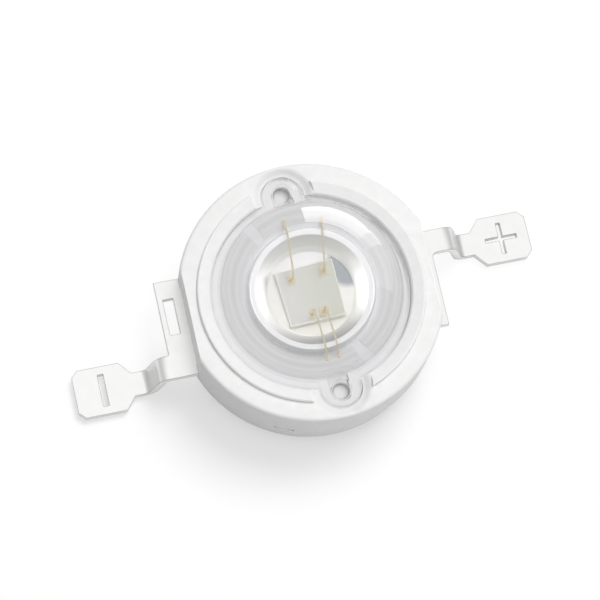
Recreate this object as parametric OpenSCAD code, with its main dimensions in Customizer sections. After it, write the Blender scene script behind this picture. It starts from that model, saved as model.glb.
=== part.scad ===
// High power LED emitter: an 8 mm moulded package on a copper heat slug,
// with a clear dome lens and two gull-wing leads.
// Millimetres. The origin is the centre of the slug's thermal face,
// +X points along the leads to the anode and +Z out through the lens.

/* [Housing] */
// Diameter of the moulded body
body_d = 8; // [7.8:0.1:9.6]
// How much each flat takes off the body's radius
flat_cut = 0.3; // [0.2:0.05:0.4]
// Height of the rim above the thermal face
rim_z = 2.9; // [2.8:0.1:3.5]
// Height of the moulding's underside above the thermal face
skirt_z = 0.25; // [0.1:0.05:0.45]
// Rounding of the rim's outer edge
rim_round = 0.12; // [0.06:0.02:0.2]
// Step in the wall at the mould's parting line
parting_step = 0.03; // [0.01:0.01:0.06]
// How much the wall leans in from the parting line to the underside
draft = 0.08; // [0.02:0.02:0.2]
// Bevel of the underside's outer edge
skirt_bevel = 0.1; // [0.04:0.02:0.2]
// Depth of the gel well and its channels below the lens's seat
well_depth = 0.08; // [0.06:0.01:0.12]
// Depth of the gel pits under the lens's ears
pit_depth = 0.35; // [0.2:0.05:0.6]

/* [Raised lip] */
// Width of the two raised lands round the lens
lip_w = 0.41; // [0.3:0.01:0.5]
// Height of the lands above the rim
lip_h = 0.13; // [0.08:0.01:0.2]
// Rounding of the lands' outer edge
lip_round = 0.06; // [0.03:0.01:0.08]
// How far the lands' inner edge falls below the rim
lip_dish = 0.05; // [0.02:0.01:0.1]
// Angle of the gap between the lands at each lens ear
lip_gap = 32; // [28:1:40]
// Width of the dished scoop round each ear pocket
scoop_w = 0.28; // [0.15:0.01:0.3]
// Depth of the scoop at the pocket's edge
scoop_depth = 0.16; // [0.08:0.02:0.2]

/* [Lens] */
// Height of the dome's top above the thermal face
lens_top_z = 5.35; // [5.2:0.05:5.55]
// Radius of the dome
dome_r = 2.8; // [2.7:0.05:2.85]
// Diameter of the flange
flange_d = 5.94; // [5.8:0.02:6]
// Thickness of the flange
flange_t = 0.3; // [0.2:0.05:0.35]
// Depth of the flange's top below the rim
flange_drop = 0.05; // [0:0.01:0.1]
// Width of the two ears
ear_w = 1.24; // [1.1:0.02:1.3]
// Distance from the lens axis to an ear's tip
ear_reach = 3.66; // [3.6:0.02:3.7]
// Height of the ears above the flange
ear_rise = 0.1; // [0.05:0.01:0.15]
// Direction of the ears, turned from the leads
ear_turn = 94; // [86:1:96]
// Diameter of the gel hole in each ear
ear_hole_d = 0.64; // [0.5:0.02:0.68]
// Wall between a gel hole and the ear's tip
ear_wall = 0.2; // [0.16:0.02:0.26]
// Radius of the hollow inside the dome
hollow_r = 2.35; // [2.25:0.05:2.4]
// Thickness of the lens at its top
lens_wall = 0.8; // [0.7:0.05:0.9]
// Gap round the flange in its seat
seat_gap = 0.05; // [0.02:0.01:0.08]
// Gap round each ear in its pocket
ear_gap = 0.05; // [0.03:0.01:0.1]
// Bevel of the flange's and the ears' top edge
lens_bevel = 0.04; // [0.02:0.01:0.06]
// Depth of the gel's surface below the ears' top
gel_sink = 0.1; // [0:0.01:0.14]

/* [Heat slug] */
// Diameter of the thermal face
slug_d = 5.6; // [5.2:0.1:6]
// Height of the slug's base disc
slug_base_h = 0.5; // [0.45:0.05:0.55]
// Diameter of the waist that the moulding grips
waist_d = 4.8; // [4.4:0.1:5]
// Height of the waist
waist_h = 0.22; // [0.15:0.01:0.25]
// Diameter of the disc above the waist
collar_d = 5.2; // [5:0.1:5.5]
// Height of the disc above the waist
collar_h = 0.28; // [0.2:0.02:0.3]
// Diameter of the boss that carries the cup
boss_d = 2.64; // [2.54:0.02:2.8]
// Height of the boss above the bond shelves
boss_rise = 0.2; // [0.12:0.01:0.26]
// Diameter of the cup at its mouth
cup_d = 2.36; // [2.2:0.02:2.46]
// Diameter of the cup's floor
cup_floor_d = 1.76; // [1.72:0.02:1.9]
// Depth of the cup
cup_depth = 0.25; // [0.2:0.01:0.34]
// Bevel of the thermal face's edge
slug_bevel = 0.08; // [0.04:0.02:0.12]

/* [Leads] */
// Thickness of the lead sheet
sheet_t = 0.25; // [0.2:0.01:0.3]
// Length over both leads
lead_span = 14.8; // [14.2:0.1:17.8]
// Height of the lead frame's underside where it leaves the body
frame_z = 1.3; // [1.25:0.05:1.4]
// Height of the pads' underside above the thermal face
pad_z = 0.05; // [0:0.01:0.1]
// Length of each solder pad
pad_l = 1.8; // [1.6:0.05:2]
// Width of each solder pad
pad_w = 1.5; // [1.3:0.05:1.7]
// Bevel of the pads' outer corners
pad_corner = 0.2; // [0.1:0.02:0.26]
// Slope length of the shoulder between neck and pad
shoulder_l = 0.33; // [0.2:0.01:0.4]
// Width of the neck
neck_w = 0.72; // [0.6:0.02:0.8]
// Fillet between neck and tab
neck_fillet = 0.16; // [0.08:0.02:0.2]
// Length of the tab along the flat
tab_len = 3.02; // [2.8:0.02:3.1]
// How far the tab stands out from the flat
tab_reach = 0.57; // [0.5:0.01:0.6]
// Length of the window in the tab
window_l = 1.12; // [0.9:0.02:1.2]
// Width of the window in the tab
window_w = 0.32; // [0.2:0.01:0.36]
// Strip of tab outside the window
window_rim = 0.17; // [0.12:0.01:0.2]
// Distance of the window's middle from the tab's middle
window_offset = 0.38; // [0.2:0.02:0.4]
// How far the frame sits off centre in the moulding, towards the cathode
frame_shift = 0.2; // [0:0.02:0.22]
// Distance from the tab's place to the first bend
bend_lead_in = 0.24; // [0.22:0.01:0.4]
// Radius of the bends at the middle of the sheet
bend_r = 0.3; // [0.2:0.01:0.34]
// Angle of the sloping leg between the bends
bend_angle = 74; // [60:1:80]
// Length of the polarity marks' strokes
mark_l = 1; // [0.8:0.05:1.1]
// Width of the cathode's slot
slot_w = 0.18; // [0.12:0.01:0.24]
// Width of the anode's crossed slots
cross_w = 0.13; // [0.1:0.01:0.2]
// Distance from the pads' outer edge to the marks' middle
mark_inset = 0.87; // [0.7:0.01:0.95]

/* [Lead frame inside the body] */
// Gap between the boss and the bond shelves
shelf_gap = 0.1; // [0.08:0.01:0.14]
// How far the shelves reach under the lens's seat
shelf_cover = 0.06; // [0.03:0.01:0.1]
// Angle at which each shelf starts, from its lead's direction
shelf_start = -56; // [-58:1:-30]
// Angle at which each shelf ends
shelf_end = 116; // [106:1:118]
// Radius of the bends down from the shelf, at the middle of the sheet
step_r = 0.25; // [0.16:0.01:0.28]
// Angle of the slope between those bends
step_angle = 70; // [64:1:80]
// Width of the frame where it enters the body
root_w = 2.4; // [1.8:0.1:2.6]
// Width of the arm that runs round to each tie bar
arm_w = 0.45; // [0.3:0.05:0.5]
// Plastic outside that arm
arm_cover = 0.5; // [0.45:0.05:0.6]
// Width of the tie bars
tie_w = 0.55; // [0.4:0.05:0.6]
// Direction of the tie bars, turned from the leads
tie_turn = 67; // [62:1:72]
// Depth of the sheared tie bars below the wall
tie_recess = 0.08; // [0.03:0.01:0.12]
// Margin of the notch round a tie bar's end
tie_margin = 0.04; // [0.02:0.01:0.08]

/* [Light source] */
// Side of the square chip
chip_w = 1.13; // [1.06:0.005:1.155]
// Thickness of the chip
chip_t = 0.13; // [0.1:0.01:0.16]
// Turn of the chip from the leads
chip_turn = 3; // [0:1:5]
// Thickness of the die attach
attach_t = 0.02; // [0.01:0.005:0.03]
// Margin of the die attach round the chip
attach_margin = 0.03; // [0.01:0.01:0.04]
// Thickness of the chip's metal contacts
contact_t = 0.008; // [0.005:0.001:0.012]
// Diameter of the bond wires
wire_d = 0.038; // [0.025:0.001:0.05]
// Diameter of the ball at a wire's start
ball_d = 0.09; // [0.07:0.005:0.1]
// Height of that ball
ball_h = 0.035; // [0.02:0.005:0.04]
// Height of the wires' loops above the boss
loop_rise = 0.26; // [0.18:0.01:0.35]
// Height of the wires over the boss's edge
edge_rise = 0.12; // [0.08:0.01:0.16]
// Radius of the wires' bends
loop_r = 0.1; // [0.06:0.01:0.12]
// Distance from the shelf's inner edge to a wire's foot
foot_inset = 0.14; // [0.12:0.01:0.3]
// Length of the stitch that ends a wire
stitch_l = 0.1; // [0.06:0.01:0.14]

/* [Hidden] */
$fn = 96;

WHITE_PLASTIC = [0.95, 0.95, 0.94];
SILVER_PLATE = [0.86, 0.86, 0.85];
CLEAR = [0.88, 0.91, 0.93, 0.35];
GEL = [0.95, 0.96, 0.96, 0.25];
SILVER_PASTE = [0.80, 0.80, 0.79];
CHIP_TINT = [0.84, 0.85, 0.80];
GOLD = [0.88, 0.74, 0.42];
over = 0.5;                      // how far a cutter runs past what it cuts
lap = 0.05;                      // how far the shapes of one solid run into each other

body_r = body_d / 2;
flat_x = body_r - flat_cut;
seat_z = rim_z - flange_drop - flange_t;
seat_r = flange_d / 2 + seat_gap;
lip_out = seat_r + lip_w;
flange_top = seat_z + flange_t;
ear_top = flange_top + ear_rise;
ear_r = ear_w / 2;
ear_c = ear_reach - ear_r;       // axis to the centre of an ear's round end
hole_c = ear_reach - ear_wall - ear_hole_d / 2;
dome_z = lens_top_z - dome_r;
hollow_z = lens_top_z - lens_wall - hollow_r;
shelf_top = seat_z - well_depth;
shelf_z = shelf_top - sheet_t;
pit_z = seat_z - pit_depth;
boss_top = shelf_top + boss_rise;
cup_z = boss_top - cup_depth;
collar_z = slug_base_h + waist_h;
collar_top = collar_z + collar_h;
shelf_in = boss_d / 2 + shelf_gap;
shelf_out = hollow_r + shelf_cover;
root_x = shelf_out + 2 * step_r * tan(step_angle / 2) + (shelf_z - frame_z) / tan(step_angle);
arm_out = body_r - arm_cover;
tab_x = flat_x + tab_reach;
bend_x = tab_x + bend_lead_in;
neck_y = tab_len / 2 - neck_w / 2;
pad_x = lead_span / 2 - pad_l;
chip_z = cup_z + attach_t;
chip_top = chip_z + chip_t;
contact_top = chip_top + contact_t;
// Middle and size of each contact on the chip, before the chip is turned
ANODE_CONTACTS = [
    [[-0.3, 0.37], [0.15, 0.2]],
    [[0.38, 0.39], [0.16, 0.2]],
];
CATHODE_CONTACTS = [
    [[-0.07, -0.42], [0.14, 0.21]],
    [[0.18, -0.42], [0.22, 0.19]],
];
bend_steps = 8;                  // flat steps round each bend of the leads
ANODE_FEET = [97, 70];           // directions of the wires' feet from +X
CATHODE_FEET = [-88, -78];

// ---- helpers -------------------------------------------------------------

// Turns a point in the plane about the origin
function turned(p, a) = [p.x * cos(a) - p.y * sin(a), p.x * sin(a) + p.y * cos(a)];

// Points on a round corner of radius r at b, on the way from a to c
function corner(a, b, c, r, steps = 5) =
    let (
        u = (a - b) / norm(a - b),
        v = (c - b) / norm(c - b),
        half = acos(u * v) / 2,
        away = r / sin(half),
        mid = b + (u + v) / norm(u + v) * away,
        first = b + u * r / tan(half) - mid,
        last = b + v * r / tan(half) - mid,
        sweep = 180 - 2 * half,
        side = sign(first.x * last.y - first.y * last.x)
    )
    [for (i = [0 : steps]) mid + turned(first, side * sweep * i / steps)];

// Points on a quarter round at radius r and height z, from the wall to the top
function round_edge(r, z, size, steps = 4) =
    [
        for (i = [0 : steps])
            let (a = 90 * i / steps)
            [r - size * (1 - cos(a)), z - size * (1 - sin(a))]
    ];

// Copies its children onto the far side of the axis
module both_sides() {
    children();
    rotate([0, 0, 180]) children();
}

// A slice of ring in the plane, between two radii and two angles
module ring_sector(r_in, r_out, from, to) {
    far = r_out / cos((to - from) / 4);
    mid = (from + to) / 2;
    difference() {
        intersection() {
            circle(r = r_out);
            polygon([
                [0, 0],
                far * [cos(from), sin(from)],
                far * [cos((from + mid) / 2), sin((from + mid) / 2)],
                far * [cos(mid), sin(mid)],
                far * [cos((to + mid) / 2), sin((to + mid) / 2)],
                far * [cos(to), sin(to)],
            ]);
        }
        circle(r = r_in);
    }
}

// ---- heat slug -----------------------------------------------------------

SLUG_SIDE = [
    [0, 0],
    [slug_d / 2 - slug_bevel, 0],
    [slug_d / 2, slug_bevel],
    [slug_d / 2, slug_base_h],
    [waist_d / 2, slug_base_h],
    [waist_d / 2, collar_z],
    [collar_d / 2, collar_z],
    [collar_d / 2, collar_top],
    [boss_d / 2, collar_top],
    [boss_d / 2, boss_top],
];

// The slug without its cup, as the moulding sees it
module slug_body() {
    rotate_extrude()
        polygon(concat(SLUG_SIDE, [[0, boss_top]]));
}

module heat_slug() {
    color(SILVER_PLATE)
        rotate_extrude()
            polygon(concat(SLUG_SIDE, [
                [cup_d / 2, boss_top],
                [cup_floor_d / 2, cup_z],
                [0, cup_z],
            ]));
}

// ---- leads ---------------------------------------------------------------

// The bond shelf in plan, for a lead that leaves along +X
module shelf_plan() {
    ring_sector(shelf_in, shelf_out, shelf_start, shelf_end);
    difference() {
        translate([0, -root_w / 2])
            square([shelf_out, root_w]);
        circle(r = (shelf_in + shelf_out) / 2);
    }
}

// The lower, flat part of the frame in plan: the root, the arm with its tie
// bar and the stamped tab, which shift moves along X
module frame_plan(shift) {
    edge = tab_x + shift;
    window_out = edge - window_rim;
    difference() {
        union() {
            translate([root_x - lap, -root_w / 2])
                square([flat_x - root_x + lap, root_w]);
            ring_sector(arm_out - arm_w, arm_out, 0, tie_turn);
            rotate(tie_turn)
                translate([arm_out - arm_w, -tie_w / 2])
                    square([body_r - tie_recess - arm_out + arm_w, tie_w]);
            translate([flat_x, -tab_len / 2])
                square([edge - flat_x, tab_len]);
            neck_corner(edge, bend_x - edge);
        }
        translate([window_out - window_w, -window_offset - window_l / 2])
            square([window_w, window_l]);
    }
}

// Fillet between the tab's edge and the neck, no longer than the flat neck
module neck_corner(edge, room) {
    size = min(neck_fillet, room);
    low = neck_y - neck_w / 2;
    translate([edge, low - size])
        difference() {
            translate([-lap, 0])
                square([size + lap, size + lap]);
            translate([size, 0])
                circle(r = size);
        }
}

// One surface of sheet that steps down, seen from the side as x and z: ends
// are the x where it starts, first bends and ends, levels the heights of its
// underside, and side is 1 for the upper surface and -1 for the lower
function step_surface(ends, levels, r, angle, side) =
    let (
        half = sheet_t / 2,
        slip = tan(angle / 2) * (r + side * half),
        top = levels[0] + (1 + side) * half,
        low = levels[1] + (1 + side) * half,
        first = [ends[1] + slip, top],
        second = [ends[1] + slip + (top - low) / tan(angle), low],
        start = [ends[0], top],
        end = [ends[2], low]
    )
    concat(
        [start],
        corner(start, first, second, r + side * half, bend_steps),
        corner(first, second, end, r - side * half, bend_steps),
        [end]
    );

// A strip of sheet of some width, middled on the x axis, that steps down
module stepped_strip(width, ends, levels, r, angle) {
    upper = step_surface(ends, levels, r, angle, 1);
    lower = step_surface(ends, levels, r, angle, -1);
    translate([0, width / 2, 0])
        rotate([90, 0, 0])
            linear_extrude(width)
                polygon(concat(upper, [for (i = [len(lower) - 1 : -1 : 0]) lower[i]]));
}

// Shoulders and solder pad in plan
module pad_plan() {
    end = lead_span / 2;
    translate([0, neck_y])
        polygon([
            [pad_x - lap, -neck_w / 2],
            [pad_x, -neck_w / 2],
            [pad_x + shoulder_l, -pad_w / 2],
            [end - pad_corner, -pad_w / 2],
            [end, -pad_w / 2 + pad_corner],
            [end, pad_w / 2 - pad_corner],
            [end - pad_corner, pad_w / 2],
            [pad_x + shoulder_l, pad_w / 2],
            [pad_x, neck_w / 2],
            [pad_x - lap, neck_w / 2],
        ]);
}

// One lead along +X; its child is the polarity mark, centred on the origin
module lead(shift) {
    translate([0, 0, shelf_z])
        linear_extrude(sheet_t)
            shelf_plan();
    stepped_strip(
        root_w, [shelf_out - lap, shelf_out, root_x + lap], [shelf_z, frame_z], step_r, step_angle
    );
    translate([0, 0, frame_z])
        linear_extrude(sheet_t)
            frame_plan(shift);
    translate([0, neck_y, 0])
        stepped_strip(
            neck_w, [tab_x + shift - lap, bend_x, pad_x], [frame_z, pad_z], bend_r, bend_angle
        );
    translate([0, 0, pad_z])
        linear_extrude(sheet_t)
            difference() {
                pad_plan();
                translate([lead_span / 2 - mark_inset, neck_y])
                    children();
            }
}

module minus_mark() {
    square([slot_w, mark_l], center = true);
}

module plus_mark() {
    square([cross_w, mark_l], center = true);
    square([mark_l, cross_w], center = true);
}

module anode_lead() {
    color(SILVER_PLATE)
        lead(-frame_shift)
            plus_mark();
}

module cathode_lead() {
    color(SILVER_PLATE)
        rotate([0, 0, 180])
            lead(frame_shift)
                minus_mark();
}

// ---- housing -------------------------------------------------------------

// The body before anything is let into it
module body_blank() {
    wall = body_r - parting_step;
    foot = wall - draft;
    rotate_extrude()
        polygon(concat(
            [
                [0, skirt_z],
                [foot - skirt_bevel, skirt_z],
                [foot, skirt_z + skirt_bevel],
                [wall, frame_z],
                [body_r, frame_z],
            ],
            round_edge(body_r, rim_z, rim_round),
            [
                [seat_r + lip_dish, rim_z],
                [seat_r, rim_z - lip_dish],
                [0, rim_z - lip_dish],
            ]
        ));
}

// The ring that the raised lands are part of, dished towards the lens
module lip_ring() {
    rotate_extrude()
        polygon(concat(
            [
                [seat_r, seat_z],
                [lip_out, seat_z],
            ],
            round_edge(lip_out, rim_z + lip_h, lip_round),
            [[seat_r, rim_z - lip_dish]]
        ));
}

// One land in plan, with round ends
module land_plan() {
    middle = seat_r + lip_w / 2;
    from = ear_turn + lip_gap / 2;
    to = from + 180 - lip_gap;
    ring_sector(seat_r, lip_out, from, to);
    for (a = [from, to])
        rotate(a)
            translate([middle, 0])
                circle(d = lip_w);
}

module lands() {
    intersection() {
        lip_ring();
        translate([0, 0, seat_z])
            linear_extrude(rim_z)
                both_sides()
                    land_plan();
    }
}

module flats() {
    both_sides()
        translate([flat_x, -body_r, -over])
            cube([body_r, body_d, rim_z + lip_h + 2 * over]);
}

// An ear's outline in plan, grown by gap
module ear_plan(gap) {
    translate([ear_c, 0])
        circle(r = ear_r + gap);
    translate([0, -ear_r - gap])
        square([ear_c, ear_w + 2 * gap]);
}

// Seat, pockets and scoops that take the lens
module lens_seat() {
    translate([0, 0, seat_z])
        cylinder(h = rim_z, r = seat_r);
    rotate([0, 0, ear_turn])
        both_sides() {
            translate([0, 0, seat_z])
                linear_extrude(rim_z)
                    ear_plan(ear_gap);
            translate([ear_c, 0, rim_z - scoop_depth])
                cylinder(h = scoop_depth, r1 = ear_r + ear_gap, r2 = ear_r + ear_gap + scoop_w);
            translate([ear_c, 0, rim_z])
                cylinder(h = lip_h + over, r = ear_r + ear_gap + scoop_w);
        }
}

// Space for the gel below the lens: the well, and a channel to a pit under
// each ear
module gel_well() {
    translate([0, 0, shelf_top])
        cylinder(h = well_depth, r = hollow_r);
    rotate([0, 0, ear_turn])
        both_sides() {
            translate([0, -ear_hole_d / 2, shelf_top])
                cube([hole_c, ear_hole_d, well_depth]);
            translate([hole_c, 0, pit_z])
                cylinder(h = pit_depth, d = ear_hole_d);
        }
}

// Notches in the wall where the tie bars were sheared off
module tie_notches() {
    both_sides()
        rotate([0, 0, tie_turn])
            translate([body_r - tie_recess, -tie_w / 2 - tie_margin, frame_z - tie_margin])
                cube([over, tie_w + 2 * tie_margin, sheet_t + 2 * tie_margin]);
}

module housing() {
    color(WHITE_PLASTIC)
        difference() {
            union() {
                body_blank();
                lands();
            }
            flats();
            lens_seat();
            gel_well();
            tie_notches();
            slug_body();
            anode_lead();
            cathode_lead();
        }
}

// ---- lens ----------------------------------------------------------------

module flange_disc() {
    rotate_extrude()
        polygon([
            [0, seat_z],
            [flange_d / 2, seat_z],
            [flange_d / 2, flange_top - lens_bevel],
            [flange_d / 2 - lens_bevel, flange_top],
            [0, flange_top],
        ]);
}

// Half of an ear's section across its length
module ear_section() {
    height = ear_top - seat_z;
    polygon([
        [0, 0],
        [ear_r, 0],
        [ear_r, height - lens_bevel],
        [ear_r - lens_bevel, height],
        [0, height],
    ]);
}

module ears() {
    rotate([0, 0, ear_turn])
        both_sides()
            translate([0, 0, seat_z]) {
                translate([ear_c, 0, 0])
                    rotate_extrude()
                        ear_section();
                rotate([90, 0, 90])
                    linear_extrude(ear_c) {
                        ear_section();
                        mirror([1, 0])
                            ear_section();
                    }
            }
}

module ear_holes(from, to) {
    rotate([0, 0, ear_turn])
        both_sides()
            translate([hole_c, 0, from])
                cylinder(h = to - from, d = ear_hole_d);
}

module dome() {
    intersection() {
        translate([0, 0, dome_z])
            sphere(r = dome_r);
        translate([0, 0, seat_z])
            cylinder(h = lens_top_z, r = dome_r);
    }
}

// The hollow under the dome, down to a height
module dome_hollow(bottom) {
    intersection() {
        translate([0, 0, hollow_z])
            sphere(r = hollow_r);
        translate([0, 0, bottom])
            cylinder(h = lens_top_z, r = hollow_r);
    }
}

module lens() {
    color(CLEAR)
        difference() {
            union() {
                flange_disc();
                ears();
                dome();
            }
            dome_hollow(seat_z - over);
            ear_holes(seat_z - over, ear_top + over);
        }
}

// ---- chip, die attach and contacts ----------------------------------------

module chip_slab(width, bottom, height) {
    translate([0, 0, bottom])
        rotate([0, 0, chip_turn])
            translate([-width / 2, -width / 2, 0])
                cube([width, width, height]);
}

module die_attach() {
    color(SILVER_PASTE)
        chip_slab(chip_w + 2 * attach_margin, cup_z, attach_t);
}

module led_chip() {
    color(CHIP_TINT)
        chip_slab(chip_w, chip_z, chip_t);
}

module chip_contacts() {
    color(GOLD)
        translate([0, 0, chip_top])
            rotate([0, 0, chip_turn])
                linear_extrude(contact_t)
                    for (c = concat(ANODE_CONTACTS, CATHODE_CONTACTS))
                        translate(c[0])
                            square(c[1], center = true);
}

// ---- bond wires ----------------------------------------------------------

// A wire's middle line in its own upright plane: distance from the ball, height
function loop_line(reach, edge) =
    let (
        foot_z = shelf_top + wire_d / 2,
        top = boss_top + loop_rise,
        points = [
            [0, contact_top + ball_h / 2],
            [0, top],
            [edge, boss_top + edge_rise],
            [reach - stitch_l, foot_z],
            [reach, foot_z],
        ]
    )
    concat(
        [points[0]],
        corner(points[0], points[1], points[2], loop_r),
        corner(points[1], points[2], points[3], loop_r),
        corner(points[2], points[3], points[4], wire_d),
        [points[4]]
    );

// A round rod along points in the x, z plane
module rod(line, d, sides = 8) {
    last = len(line) - 1;
    function along(i) =
        let (step = line[min(i + 1, last)] - line[max(i - 1, 0)])
        step / norm(step);
    rings = [
        for (i = [0 : last])
            for (s = [0 : sides - 1])
                let (
                    a = 360 * s / sides,
                    t = along(i),
                    across = d / 2 * cos(a)
                )
                [line[i].x - t.y * across, d / 2 * sin(a), line[i].y + t.x * across]
    ];
    skin = [
        for (i = [0 : last - 1])
            for (s = [0 : sides - 1])
                let (next = (s + 1) % sides)
                [i * sides + s, i * sides + next, (i + 1) * sides + next, (i + 1) * sides + s]
    ];
    start_cap = [for (s = [0 : sides - 1]) sides - 1 - s];
    end_cap = [for (s = [0 : sides - 1]) last * sides + s];
    polyhedron(rings, concat(skin, [start_cap, end_cap]));
}

// A wire from a contact on the chip to its foot on a bond shelf
module bond_wire(contact, foot_turn) {
    start = turned(contact[0], chip_turn);
    foot = (shelf_in + foot_inset) * [cos(foot_turn), sin(foot_turn)];
    way = foot - start;
    reach = norm(way);
    edge = reach - foot_inset - shelf_gap;
    color(GOLD)
        translate([start.x, start.y, 0])
            rotate([0, 0, atan2(way.y, way.x)]) {
                rod(loop_line(reach, edge), wire_d);
                translate([0, 0, contact_top])
                    cylinder(h = ball_h, d = ball_d);
                translate([reach - stitch_l / 2, 0, shelf_top])
                    cylinder(h = wire_d / 2, d = stitch_l);
            }
}

module anode_wire_1() { bond_wire(ANODE_CONTACTS[0], ANODE_FEET[0]); }
module anode_wire_2() { bond_wire(ANODE_CONTACTS[1], ANODE_FEET[1]); }
module cathode_wire_1() { bond_wire(CATHODE_CONTACTS[0], CATHODE_FEET[0]); }
module cathode_wire_2() { bond_wire(CATHODE_CONTACTS[1], CATHODE_FEET[1]); }

// ---- gel -----------------------------------------------------------------

module encapsulant() {
    color(GEL)
        difference() {
            union() {
                gel_well();
                dome_hollow(seat_z - lap);
                translate([0, 0, cup_z])
                    cylinder(h = boss_top - cup_z + lap, d = cup_d);
                ear_holes(pit_z, ear_top - gel_sink);
            }
            heat_slug();
            die_attach();
            led_chip();
            chip_contacts();
            anode_wire_1();
            anode_wire_2();
            cathode_wire_1();
            cathode_wire_2();
        }
}

heat_slug();
housing();
anode_lead();
cathode_lead();
lens();
encapsulant();
die_attach();
led_chip();
chip_contacts();
anode_wire_1();
anode_wire_2();
cathode_wire_1();
cathode_wire_2();
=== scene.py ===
"""Looks of a high power LED emitter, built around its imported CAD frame.

The frame gives every size that the outside of a piece has. The finer forms that the looks need,
such as polished curves, rounded moulded edges and sheared metal edges, are modelled here in
millimetres and scaled into the frame when a piece is finished.
"""

import logging
import math
from collections.abc import Callable
from dataclasses import dataclass, field
from enum import Enum
from functools import partial

import bpy
from mathutils import Matrix, Vector

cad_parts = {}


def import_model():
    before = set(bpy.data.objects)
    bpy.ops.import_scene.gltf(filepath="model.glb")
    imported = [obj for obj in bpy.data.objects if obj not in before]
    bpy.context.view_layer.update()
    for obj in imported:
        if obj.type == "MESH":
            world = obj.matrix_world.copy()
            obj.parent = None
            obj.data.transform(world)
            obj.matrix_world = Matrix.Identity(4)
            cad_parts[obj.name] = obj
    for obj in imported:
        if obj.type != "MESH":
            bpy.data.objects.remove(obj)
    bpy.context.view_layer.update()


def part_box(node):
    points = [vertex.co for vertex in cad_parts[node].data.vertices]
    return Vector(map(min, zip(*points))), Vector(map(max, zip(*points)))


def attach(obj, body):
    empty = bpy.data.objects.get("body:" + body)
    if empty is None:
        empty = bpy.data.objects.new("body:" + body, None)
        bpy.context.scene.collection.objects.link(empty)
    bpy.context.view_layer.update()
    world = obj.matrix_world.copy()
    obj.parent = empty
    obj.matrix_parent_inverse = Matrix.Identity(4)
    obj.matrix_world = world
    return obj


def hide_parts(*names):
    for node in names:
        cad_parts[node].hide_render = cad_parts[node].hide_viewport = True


Point = tuple[float, float]
Span = tuple[float, float]
Place = tuple[float, float, float]
Socket = bpy.types.NodeSocket
Shape = bpy.types.Object

MM = 0.001
PLAN = (1.0, 1.0, 0.0)  # multiplied by a place, leaves its plan
BOTH_SIDES = (0, 180)  # every pair of features lies half a turn apart
MERGE = 0.0005  # corners nearer than this are one, in millimetres
SMOOTH_TO = 32.0  # edges flatter than this many degrees are shaded smooth
LARGE_FACE_WEIGHT = 90  # how far large faces lead the smoothing, of 100
BENCH_RAYS = 6  # rays that feel for a rounded edge or a corner

log = logging.getLogger("emitter")


class Blend(Enum):
    """How one closed shape is worked into another."""

    CUT = "DIFFERENCE"
    JOIN = "UNION"
    KEEP = "INTERSECT"


class Reach(Enum):
    """What a lamp acts on."""

    GLOSS = "reflections only"
    SKIN = "matt surfaces only"


class Slot(Enum):
    """Names of the record's material slots for the pieces modelled here; nothing reads them."""

    SLUG = "plated_slug"
    MOULDING = "white_moulding"
    LEAD = "plated_lead"
    LENS = "clear_lens"
    GEL = "clear_gel"


# ---- the bench: modelling moves, in millimetres ------------------------------------------


def leave_all() -> None:
    """Leaves nothing selected, so that the next operator acts on the new shape alone."""
    if bpy.context.object is not None and bpy.context.object.mode != "OBJECT":
        bpy.ops.object.mode_set(mode="OBJECT")
    bpy.ops.object.select_all(action="DESELECT")


def take(shape: Shape) -> None:
    """Makes one shape the only selected and active one.

    Args:
        shape: The object that the next operators act on.
    """
    leave_all()
    shape.select_set(True)
    bpy.context.view_layer.objects.active = shape


def open_up(shape: Shape) -> None:
    """Takes a shape into edit mode with all its corners selected.

    Args:
        shape: The shape.
    """
    take(shape)
    bpy.ops.object.mode_set(mode="EDIT")
    bpy.ops.mesh.select_mode(type="VERT")
    bpy.ops.mesh.select_all(action="SELECT")


def arc(centre: Point, radius: float, start: float, end: float, steps: int) -> list[Point]:
    """Points along a round stretch of an outline.

    Args:
        centre: Middle of the circle.
        radius: Its radius.
        start: Angle of the first point, in degrees.
        end: Angle of the last point, in degrees.
        steps: How many chords the stretch is drawn with.

    Returns:
        The points, both ends included.
    """
    angles = [math.radians(start + (end - start) * i / steps) for i in range(steps + 1)]
    return [(centre[0] + radius * math.cos(a), centre[1] + radius * math.sin(a)) for a in angles]


def draw(name: str, places: list[Place]) -> Shape:
    """Draws a closed wire by extruding one vertex from place to place.

    Args:
        name: Name of the new object.
        places: Corners of the wire, in order.

    Returns:
        The wire, left in edit mode with everything selected.
    """
    leave_all()
    bpy.ops.mesh.primitive_plane_add(size=1, location=places[0])
    wire = bpy.context.object
    wire.name = name
    bpy.ops.object.transform_apply(location=True)
    open_up(wire)
    bpy.ops.mesh.merge(type="CENTER")
    here = Vector(places[0])
    for place in places[1:]:
        step = Vector(place) - here
        bpy.ops.mesh.extrude_region_move(TRANSFORM_OT_translate={"value": step})
        here = Vector(place)
    bpy.ops.mesh.select_all(action="DESELECT")
    bpy.ops.object.mode_set(mode="OBJECT")
    joined = [number for edge in wire.data.edges for number in edge.vertices]
    for vertex in wire.data.vertices:
        vertex.select = joined.count(vertex.index) == 1
    bpy.ops.object.mode_set(mode="EDIT")
    bpy.ops.mesh.edge_face_add()
    bpy.ops.mesh.select_all(action="SELECT")
    return wire


def close_up(shape: Shape) -> Shape:
    """Merges what meets and turns every face outwards, then leaves edit mode.

    Args:
        shape: A shape in edit mode.

    Returns:
        The same shape, in object mode.
    """
    bpy.ops.mesh.select_all(action="SELECT")
    bpy.ops.mesh.remove_doubles(threshold=MERGE)
    bpy.ops.mesh.delete_loose(use_faces=False)
    bpy.ops.mesh.select_all(action="SELECT")
    bpy.ops.mesh.normals_make_consistent(inside=False)
    bpy.ops.object.mode_set(mode="OBJECT")
    return shape


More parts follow.
